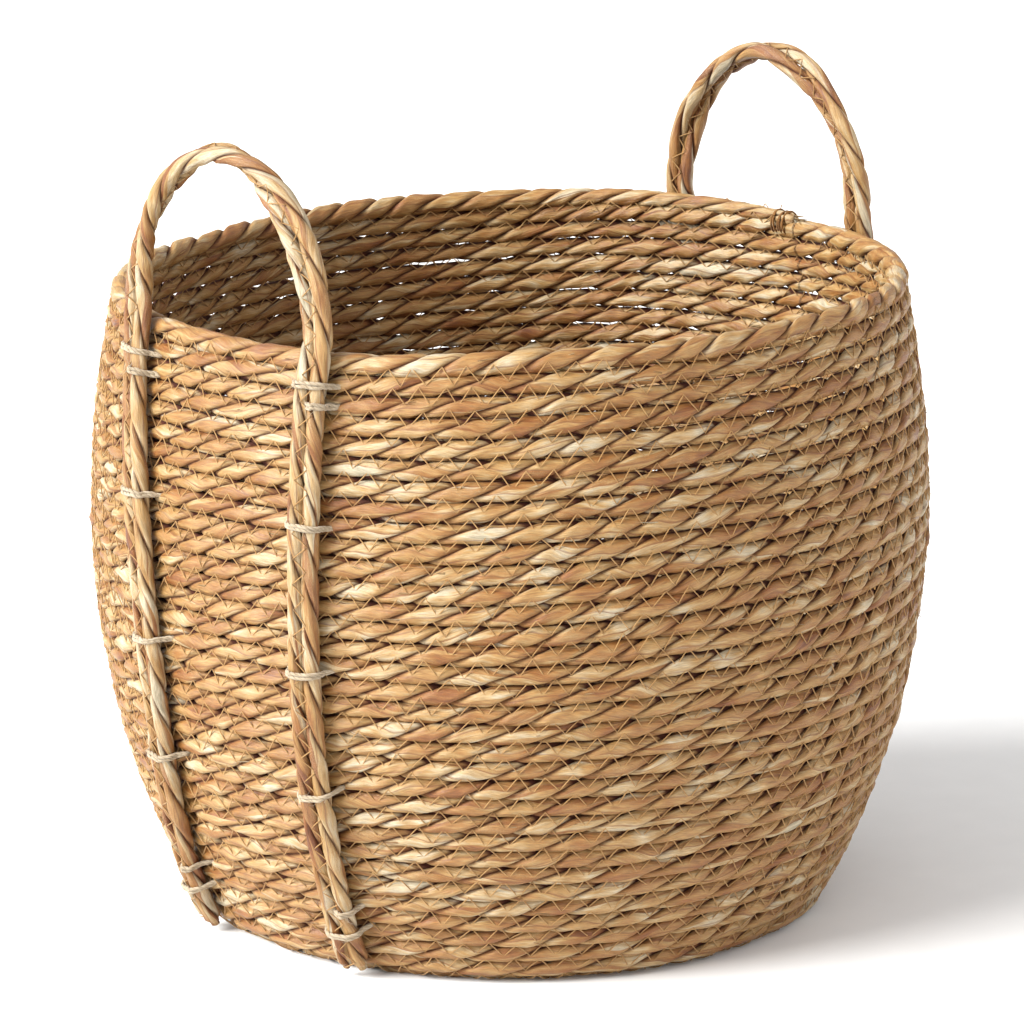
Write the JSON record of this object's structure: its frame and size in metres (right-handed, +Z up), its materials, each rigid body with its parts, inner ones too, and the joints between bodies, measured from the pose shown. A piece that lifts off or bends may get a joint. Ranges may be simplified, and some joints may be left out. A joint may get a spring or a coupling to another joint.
{
  "type": "storage basket",
  "caption": "Round barrel-shaped storage basket of coiled, twisted seagrass rope with an open top and a pair of rope handles stitched and tied to the wall.",
  "frame": {"origin": "on the floor, on the basket's axis, at the centre of the base", "axes": "+Z up along the basket's axis, the handles at -X (left) and +X (right), -Y is the front"},
  "size_m": [0.4366, 0.4202, 0.41],
  "materials": {
    "seagrass_rope": "dry twisted seagrass leaf, honey to straw colour, satin on the leaf and matt in the grooves",
    "handle_rope": "dry twisted seagrass leaf, smoother and a little darker than the wall",
    "sewing_thread": "thin golden tan sewing thread",
    "jute_twine": "pale greyish matt jute twine with loose fibres"
  },
  "bodies": {
    "basket": {"base_coil": "seagrass_rope", "wall_coil": "seagrass_rope", "rim_course": "seagrass_rope", "body_stitching": "sewing_thread", "left_handle_front_leg_outer_rope": "handle_rope", "left_handle_front_leg_inner_rope": "handle_rope", "left_handle_front_leg_stitching": "sewing_thread", "left_handle_front_leg_rim_tie": "jute_twine", "left_handle_front_leg_rim_stay": "jute_twine", "left_handle_front_leg_upper_tie": "jute_twine", "left_handle_front_leg_middle_tie": "jute_twine", "left_handle_front_leg_lower_tie": "jute_twine", "left_handle_front_leg_foot_stay": "jute_twine", "left_handle_front_leg_foot_tie": "jute_twine", "left_handle_back_leg_outer_rope": "handle_rope", "left_handle_back_leg_inner_rope": "handle_rope", "left_handle_back_leg_stitching": "sewing_thread", "left_handle_back_leg_rim_tie": "jute_twine", "left_handle_back_leg_rim_stay": "jute_twine", "left_handle_back_leg_upper_tie": "jute_twine", "left_handle_back_leg_middle_tie": "jute_twine", "left_handle_back_leg_lower_tie": "jute_twine", "left_handle_back_leg_foot_stay": "jute_twine", "left_handle_back_leg_foot_tie": "jute_twine", "right_handle_front_leg_outer_rope": "handle_rope", "right_handle_front_leg_inner_rope": "handle_rope", "right_handle_front_leg_stitching": "sewing_thread", "right_handle_front_leg_rim_tie": "jute_twine", "right_handle_front_leg_rim_stay": "jute_twine", "right_handle_front_leg_upper_tie": "jute_twine", "right_handle_front_leg_middle_tie": "jute_twine", "right_handle_front_leg_lower_tie": "jute_twine", "right_handle_front_leg_foot_stay": "jute_twine", "right_handle_front_leg_foot_tie": "jute_twine", "right_handle_back_leg_outer_rope": "handle_rope", "right_handle_back_leg_inner_rope": "handle_rope", "right_handle_back_leg_stitching": "sewing_thread", "right_handle_back_leg_rim_tie": "jute_twine", "right_handle_back_leg_rim_stay": "jute_twine", "right_handle_back_leg_upper_tie": "jute_twine", "right_handle_back_leg_middle_tie": "jute_twine", "right_handle_back_leg_lower_tie": "jute_twine", "right_handle_back_leg_foot_stay": "jute_twine", "right_handle_back_leg_foot_tie": "jute_twine"},
    "left_handle": {"left_handle_loop_outer_rope": "handle_rope", "left_handle_loop_inner_rope": "handle_rope", "left_handle_loop_stitching": "sewing_thread"},
    "right_handle": {"right_handle_loop_outer_rope": "handle_rope", "right_handle_loop_inner_rope": "handle_rope", "right_handle_loop_stitching": "sewing_thread"}
  },
  "joints": [
    {"name": "left_handle_bend", "type": "hinge", "parent": "basket", "child": "left_handle", "pos_m": [-0.192, 0, 0.324], "axis": [0, 1, 0], "range_deg": [-45, 60], "stiffness_Nm_per_rad": 0.12},
    {"name": "right_handle_bend", "type": "hinge", "parent": "basket", "child": "right_handle", "pos_m": [0.192, 0, 0.324], "axis": [0, -1, 0], "range_deg": [-45, 60], "stiffness_Nm_per_rad": 0.12}
  ]
}
